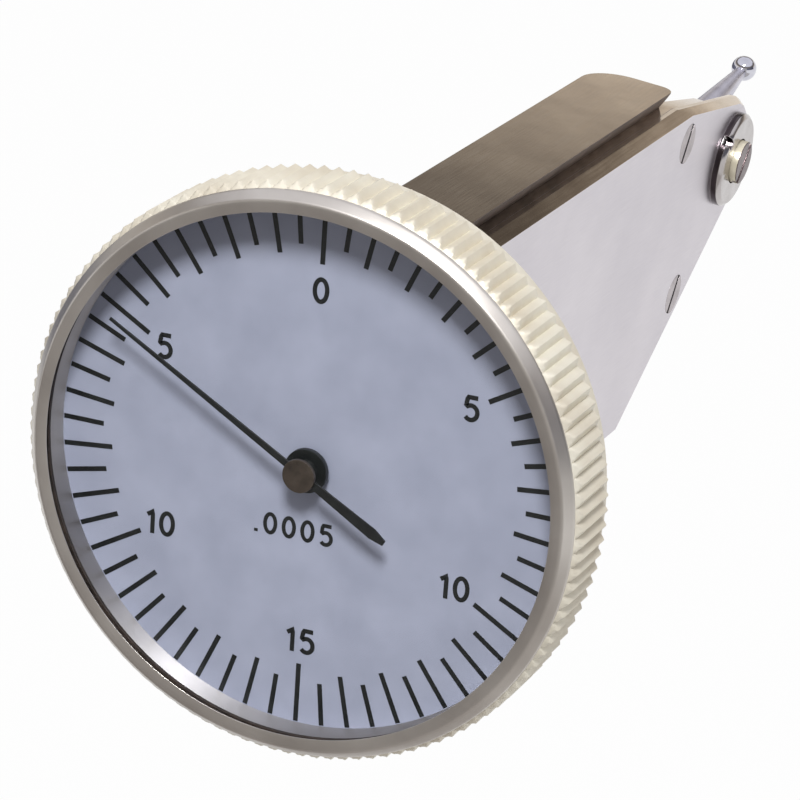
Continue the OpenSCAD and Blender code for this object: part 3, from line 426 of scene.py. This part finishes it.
def strokeFigure(path, closed, half):
    # a flat bar carried along the path: its edges lie half a stroke to the left and right along the normal,
    # at the top and the bottom
    if closed:
        along = np.roll(path, -1, 0) - np.roll(path, 1, 0)
    else:
        along = np.gradient(path, axis=0)
    along = along / np.linalg.norm(along, axis=1, keepdims=True)
    normal = np.stack([-along[:, 1], along[:, 0]], 1) * half
    ring = np.stack([path + normal, path - normal, path - normal, path + normal], 1)
    level = np.broadcast_to(np.array([1, 1, 0, 0]), (len(path), 4))
    faces = gridFaces(len(path), 4, wrapRows=closed, wrapCols=True)
    if not closed:
        last = (len(path) - 1) * 4
        faces = np.concatenate([faces, [[3, 2, 1, 0], [last, last + 1, last + 2, last + 3]]])
    return ring.reshape(-1, 2), level.ravel(), faces


def makeNumerals(s):
    # every figure is set upright to the dial: place + height * path, side by side about the middle
    # of its number
    lines = []
    for angle, (text, radius) in s["numerals"].items():
        a = math.radians(angle)
        lines.append((text, radius * math.sin(a), radius * math.cos(a),
                      s["numeralHeight"], s["stroke"], s["numeralSpread"]))
    lines.append((s["valueText"], s["valueAcross"], -s["valueRadius"],
                  s["valueHeight"], s["valueStroke"], s["valueSpread"]))
    points = []
    faces = []
    start = 0
    for text, x, z, height, stroke, spread in lines:
        pen = -spread * sum(figureSettings[figure]["width"] for figure in text) / 2
        for figure in text:
            shape = figureSettings[figure]
            flat, level, quads = strokeFigure(figurePath(shape) * height, "ring" in shape, stroke / 2)
            across = x + (pen + spread * shape["width"] / 2) * height + flat[:, 0]
            own = onDial(across, z + flat[:, 1], np.where(level == 1, s["lift"], -s["sink"]))
            points.append(own)
            faces.append(turnOutward(own, quads) + start)
            start += len(flat)
            pen += spread * shape["width"]
    addPiece("dialNumerals", np.concatenate(points), np.concatenate(faces), [finishes["pointer_black"]],
             "bezel", s["sharp"])


makeTicks(dialSettings)
makeNumerals(dialSettings)
print("dial print made")

# nodes that keep their own shape but get rounded edges: width of the rounding in mm
edgeSettings = {"body_frame": 0.09, "side_cover": 0.07, "cover_screws": 0.02, "dial_housing": 0.08,
                "pivot_cap_left": 0.06, "pivot_cap_right": 0.06,
                "pivot_screw_left": 0.06, "pivot_screw_right": 0.06,
                "stylus_hub": 0.05, "stylus_stem": 0.05, "contact_ball": 0,
                "pointer": 0.02, "pointer_hub": 0.04, "pointer_cap": 0.06,
                "crystal": 0.04, "crystal_gasket": 0.05, "dial_plate": 0.04}
# how they are cut: doubles nearer than merge in mm are joined, and faces that meet within flat degrees;
# edges past the sharp angle get a round of so many segments
dressSettings = dict(merge=0.0005, flat=0.3, sharp=30, segments=2, profile=0.5)

# pieces with a finish of their own, and those with more finishes on some of their faces
ownFinish = {"dial_housing": "knurl_painted_ivory_sheen",
             "pivot_screw_left": "screw_warm", "pivot_screw_right": "screw_warm"}
# the more finishes paint shade in the rail's groove, the bay and the screw slots and on the cap edges, and
# a highlight on the screw rims
moreFinishes = {"body_frame": ["groove_painted_shade", "cover_satin"], "side_cover": ["frame_satin"],
                "cover_screws": ["slot_painted_shade"],
                "pivot_cap_left": ["cap_edge_painted_shade"], "pivot_cap_right": ["cap_edge_painted_shade"],
                "pivot_screw_left": ["screw_rim_painted_highlight"], "pivot_screw_right": ["screw_rim_painted_highlight"]}
# where those faces lie: tilts are parts of the face's normal, lengths are in mm
zoneSettings = dict(flankTilt=-0.2, flankSide=0.5, insideHalf=3.02, topTilt=0.9, front=5.7, top=12.38,
                    sideTilt=-0.9, stripTilt=0.5, slotDepth=0.08, edgeTilt=0.3, rimShare=0.6)


def faceZones(node, mesh, s):
    # which finish each face takes, by the way it looks and where it lies
    count = len(mesh.polygons)
    normal = np.empty(3 * count)
    centre = np.empty(3 * count)
    mesh.polygons.foreach_get("normal", normal)
    mesh.polygons.foreach_get("center", centre)
    x, _, z = normal.reshape(-1, 3).T
    atX, atY, atZ = ((centre.reshape(-1, 3) - dialCentre) / mm).T
    if node == "body_frame":  # flanks of the rail that look down and the inside of the bay take a painted shade; the left side another finish
        flank = (np.abs(x) > s["flankSide"]) & (z < s["flankTilt"])
        inside = (np.abs(atX) < s["insideHalf"]) & (z < s["topTilt"])
        inside = inside & (atY > s["front"]) & (np.abs(atZ) < s["top"])
        return np.where(flank | inside, 1, np.where(x < s["sideTilt"], 2, 0))
    if node == "side_cover":  # the sloping strip along the upper edge
        return z > s["stripTilt"]
    if node == "cover_screws":  # the floor of the slot, painted dark as its shade
        return atX < atX.max() - s["slotDepth"]
    # round the edge of a cap, painted dark as its shade, or of a screw, painted cream as a highlight
    reach = np.hypot(atY - (atY.min() + atY.max()) / 2, atZ - (atZ.min() + atZ.max()) / 2)
    return (np.abs(x) < s["edgeTilt"]) & (reach > s["rimShare"] * reach.max())


def dressNode(node, width, s):
    # a copy of the node, worked in mm: doubles merged, flat triangles joined, and each edge past the sharp
    # angle cut by a small round
    sharp = math.radians(s["sharp"])
    work = bmesh.new()
    work.from_mesh(nodes[node].data)
    bmesh.ops.scale(work, vec=(1 / mm,) * 3, verts=work.verts)
    bmesh.ops.remove_doubles(work, verts=work.verts, dist=s["merge"])
    bmesh.ops.dissolve_limit(work, angle_limit=math.radians(s["flat"]), verts=work.verts, edges=work.edges)
    keen = [e for e in work.edges if e.is_manifold and e.calc_face_angle() > sharp]
    if width and keen:
        bmesh.ops.bevel(work, geom=keen, offset=width, offset_type="OFFSET", segments=s["segments"],
                        profile=s["profile"], affect="EDGES", clamp_overlap=True)
    bmesh.ops.scale(work, vec=(mm,) * 3, verts=work.verts)
    mesh = bpy.data.meshes.new(node + "_dressed")
    work.to_mesh(mesh)
    work.free()
    mesh.materials.append(finishes[ownFinish.get(node, nodeSlot[node])])
    if node in moreFinishes:
        for name in moreFinishes[node]:
            mesh.materials.append(finishes[name])
        zones = faceZones(node, mesh, zoneSettings).astype(np.int32)
        mesh.polygons.foreach_set("material_index", zones)
    mesh.shade_smooth()
    mesh.set_sharp_from_angle(angle=sharp)
    piece = bpy.data.objects.new(node + "_dressed", mesh)
    bpy.context.scene.collection.objects.link(piece)
    level = piece.modifiers.new("flatFaces", "WEIGHTED_NORMAL")  # keeps wide faces flat beside their rounds
    level.keep_sharp = True
    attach(piece, nodeBody[node])
    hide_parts(node)


for node, width in edgeSettings.items():
    dressNode(node, width, dressSettings)
print("edges rounded on", len(edgeSettings), "nodes")


# stage: a pale floor, a glowing card and dark flags that only the metal shows, a soft sky and one lamp;
# lengths are in mm from the middle of the dial, but the lamp's are in metres
def seenShare(tree, share, rest):
    # share where the camera, a gloss or a clear piece looks at the stage, and rest where light only falls
    # from it
    path = tree.nodes.new("ShaderNodeLightPath")
    direct = tree.nodes.new("ShaderNodeMath")
    direct.operation = "MAXIMUM"
    seen = tree.nodes.new("ShaderNodeMath")
    seen.operation = "MAXIMUM"
    level = tree.nodes.new("ShaderNodeMapRange")
    level.inputs["To Min"].default_value = rest
    level.inputs["To Max"].default_value = share
    tree.links.new(path.outputs["Is Camera Ray"], direct.inputs[0])
    tree.links.new(path.outputs["Is Glossy Ray"], direct.inputs[1])
    tree.links.new(direct.outputs["Value"], seen.inputs[0])
    tree.links.new(path.outputs["Is Transmission Ray"], seen.inputs[1])
    tree.links.new(seen.outputs["Value"], level.inputs["Value"])
    return level.outputs["Result"]


# floor: well below the object; showWhite is how white it is where it is seen
floorSettings = dict(drop=150, size=3000, steps=9, tone=(190, 189, 188), showWhite=0.98)


def makeFloor(s):
    # a flat sheet about the object: x = a * size, y = b * size, with a and b from -1/2 to 1/2
    line = np.linspace(-0.5, 0.5, s["steps"])
    a, b = np.meshgrid(line, line)
    level = dialCentre[2] - s["drop"] * mm
    points = np.stack([a * s["size"] * mm, b * s["size"] * mm, 0 * a + level], -1).reshape(-1, 3)
    mesh = bpy.data.meshes.new("floor")
    mesh.from_pydata(points.tolist(), [], gridFaces(s["steps"], s["steps"]).tolist())
    finish = bpy.data.materials.new("floor_pale")
    finish.use_nodes = True
    tree = finish.node_tree
    tree.nodes.clear()
    paint = tree.nodes.new("ShaderNodeBsdfDiffuse")
    paint.inputs["Color"].default_value = toLinear(s["tone"])
    white = tree.nodes.new("ShaderNodeEmission")
    mix = tree.nodes.new("ShaderNodeMixShader")
    out = tree.nodes.new("ShaderNodeOutputMaterial")
    tree.links.new(seenShare(tree, s["showWhite"], 0), mix.inputs["Fac"])
    tree.links.new(paint.outputs["BSDF"], mix.inputs[1])
    tree.links.new(white.outputs["Emission"], mix.inputs[2])
    tree.links.new(mix.outputs["Shader"], out.inputs["Surface"])
    mesh.materials.append(finish)
    floor = bpy.data.objects.new("floor", mesh)
    bpy.context.scene.collection.objects.link(floor)


def addSheet(name, points, faces, finish):
    # a sheet of the stage that the camera does not see
    mesh = bpy.data.meshes.new(name)
    mesh.from_pydata((points * mm + dialCentre).tolist(), [], faces.tolist())
    mesh.materials.append(finish)
    sheet = bpy.data.objects.new(name, mesh)
    sheet.visible_camera = False
    bpy.context.scene.collection.objects.link(sheet)


# card: a glowing sheet in front of the object, seen only in the metal; it lies near the floor and then
# stands up, brighter upwards and to the right; heights are from the floor
cardSettings = dict(left=-270, right=350, near=50, far=-300, lift=6, rise=300, bend=120, bendSteps=9,
                    acrossSteps=5, lean=0.5, darkAt=-95, lightAt=60, low=(102, 98, 96),
                    high=(178, 176, 174), fill=0.5, rough=0.9)


def makeCard(s, drop):
    # profile of (y, height) carried along x: flat from near to far, a rounded bend, then upright
    corner = np.array([(s["near"], 0), (s["far"], 0), (s["far"], s["rise"])], float)
    start = corner[1] + (s["bend"], 0)
    end = corner[1] + (0, s["bend"])
    u = np.linspace(0, 1, s["bendSteps"])[:, None]
    bend = (1 - u) ** 2 * start + 2 * u * (1 - u) * corner[1] + u ** 2 * end
    profile = np.concatenate([corner[:1], bend, corner[2:]])
    x = np.linspace(s["left"], s["right"], s["acrossSteps"])[None, :]
    z = profile[:, 1:] + s["lift"] - drop
    points = np.stack(np.broadcast_arrays(x, profile[:, :1], z), -1).reshape(-1, 3)
    finish = bpy.data.materials.new("card_grey")
    finish.use_nodes = True
    tree = finish.node_tree
    shader = tree.nodes["Principled BSDF"]
    shader.inputs["Base Color"].default_value = toLinear(s["low"])
    shader.inputs["Roughness"].default_value = s["rough"]
    tree.links.new(seenShare(tree, 1, s["fill"]), shader.inputs["Emission Strength"])
    place = tree.nodes.new("ShaderNodeTexCoord")
    split = tree.nodes.new("ShaderNodeSeparateXYZ")
    slope = tree.nodes.new("ShaderNodeMath")  # height + lean * x
    slope.operation = "MULTIPLY_ADD"
    slope.inputs[1].default_value = s["lean"]
    height = tree.nodes.new("ShaderNodeMapRange")
    height.inputs["From Min"].default_value = float(dialCentre[2]) + (s["darkAt"] - drop) * mm
    height.inputs["From Max"].default_value = float(dialCentre[2]) + (s["lightAt"] - drop) * mm
    tones = tree.nodes.new("ShaderNodeValToRGB")
    tones.color_ramp.elements[0].color = toLinear(s["low"])
    tones.color_ramp.elements[1].color = toLinear(s["high"])
    tree.links.new(place.outputs["Object"], split.inputs["Vector"])
    tree.links.new(split.outputs["X"], slope.inputs[0])
    tree.links.new(split.outputs["Z"], slope.inputs[2])
    tree.links.new(slope.outputs["Value"], height.inputs["Value"])
    tree.links.new(height.outputs["Result"], tones.inputs["Fac"])
    tree.links.new(tones.outputs["Color"], shader.inputs["Emission Color"])
    addSheet("card", points, gridFaces(len(profile), s["acrossSteps"]), finish)


# flags: dark sheets to the left and right, which draw the edges of the bright steel
flagSettings = {
    "flagLeft": dict(aside=-430, front=-160, back=1400, low=-145, high=40, tone=(146, 148, 164), rough=0.9),
    "flagRight": dict(aside=430, front=-380, back=300, low=45, high=200, tone=(116, 117, 130), rough=0.9),
}


def makeFlag(name, s):
    # an upright sheet: x = aside, y from front to back, z from low to high
    finish = bpy.data.materials.new(name)
    finish.use_nodes = True
    shader = finish.node_tree.nodes["Principled BSDF"]
    shader.inputs["Base Color"].default_value = toLinear(s["tone"])
    shader.inputs["Roughness"].default_value = s["rough"]
    y, z = np.meshgrid([s["front"], s["back"]], [s["low"], s["high"]])
    points = np.stack([np.full(y.shape, s["aside"]), y, z], -1).reshape(-1, 3)
    addSheet(name, points, gridFaces(2, 2), finish)


# sky: colours from the horizon up, and how much of it lights the object
skySettings = dict(fill=0.5, stops=[(0.0, (1.0, 1.0, 1.0)), (0.20, (0.9, 0.88, 0.85)),
                                    (0.28, (0.78, 0.71, 0.62)), (0.325, (0.28, 0.245, 0.215)),
                                    (0.45, (0.17, 0.15, 0.135)), (0.48, (0.2, 0.18, 0.17)),
                                    (0.58, (0.95, 0.95, 1.0)), (1.0, (0.9, 0.9, 0.95))])


def makeSky(s):
    # colour of the sky by height: a ramp over the upward part of the direction
    world = bpy.data.worlds.new("sky")
    world.use_nodes = True
    tree = world.node_tree
    back = tree.nodes["Background"]
    tree.links.new(seenShare(tree, 1, s["fill"]), back.inputs["Strength"])
    place = tree.nodes.new("ShaderNodeTexCoord")
    split = tree.nodes.new("ShaderNodeSeparateXYZ")
    ramp = tree.nodes.new("ShaderNodeValToRGB")
    stops = ramp.color_ramp.elements
    for stop, (at, tone) in zip((stops[0], stops[1]), (s["stops"][0], s["stops"][-1])):
        stop.position = at
        stop.color = (*tone, 1)
    for at, tone in s["stops"][1:-1]:
        stops.new(at).color = (*tone, 1)
    tree.links.new(place.outputs["Generated"], split.inputs["Vector"])
    tree.links.new(split.outputs["Z"], ramp.inputs["Fac"])
    tree.links.new(ramp.outputs["Color"], back.inputs["Color"])
    bpy.context.scene.world = world


# lamp: a soft disc above in front
lampSettings = dict(direction=(0.124, -0.62, 0.775), distance=0.7, size=0.18, power=4.6)


def makeLamp(s):
    # the lamp stands along its direction from the dial and looks back at it
    toLamp = np.asarray(s["direction"]) / np.linalg.norm(s["direction"])
    data = bpy.data.lights.new("keyLamp", "AREA")
    data.shape = "DISK"
    data.size = s["size"]
    data.energy = s["power"]
    lamp = bpy.data.objects.new("keyLamp", data)
    side = np.cross((0, 0, 1), toLamp)
    side = side / np.linalg.norm(side)
    turn = Matrix(np.stack([side, np.cross(toLamp, side), toLamp], 1).tolist()).to_4x4()
    lamp.matrix_world = Matrix.Translation((dialCentre + toLamp * s["distance"]).tolist()) @ turn
    bpy.context.scene.collection.objects.link(lamp)


# camera: where the dial's middle lies in the 800 x 800 picture, how far it is in metres, and how the view
# is turned in degrees
cameraSettings = dict(frameSize=800, focal=4000, azimuth=19.65, elevation=21.98, roll=10.341,
                      distance=0.250915, dialAt=(310.465, 467.618), sensor=36, nearest=0.01)


def makeCamera(s):
    # the eye lies back along the view from the dial, moved aside until the dial falls on its place
    az, el, roll = (math.radians(s[k]) for k in ("azimuth", "elevation", "roll"))
    back = np.array([math.sin(az) * math.cos(el), -math.cos(az) * math.cos(el), math.sin(el)])
    right = np.cross(-back, (0, 0, 1))
    right = right / np.linalg.norm(right)
    up = np.cross(right, -back)
    turnedRight = math.cos(roll) * right + math.sin(roll) * up
    turnedUp = math.cos(roll) * up - math.sin(roll) * right
    scale = s["distance"] / s["focal"]
    aside = (s["dialAt"][0] - s["frameSize"] / 2) * scale
    below = (s["dialAt"][1] - s["frameSize"] / 2) * scale
    eye = dialCentre - aside * turnedRight + below * turnedUp + s["distance"] * back
    data = bpy.data.cameras.new("camera")
    data.sensor_width = s["sensor"]
    data.lens = s["focal"] / s["frameSize"] * s["sensor"]
    data.clip_start = s["nearest"]
    camera = bpy.data.objects.new("camera", data)
    turn = Matrix(np.stack([turnedRight, turnedUp, back], 1).tolist()).to_4x4()
    camera.matrix_world = Matrix.Translation(eye.tolist()) @ turn
    bpy.context.scene.collection.objects.link(camera)
    bpy.context.scene.camera = camera


makeFloor(floorSettings)
makeCard(cardSettings, floorSettings["drop"])
for name, s in flagSettings.items():
    makeFlag(name, s)
makeSky(skySettings)
makeLamp(lampSettings)
makeCamera(cameraSettings)
bpy.context.scene.view_settings.view_transform = "Standard"
print("stage, lamp and camera set")
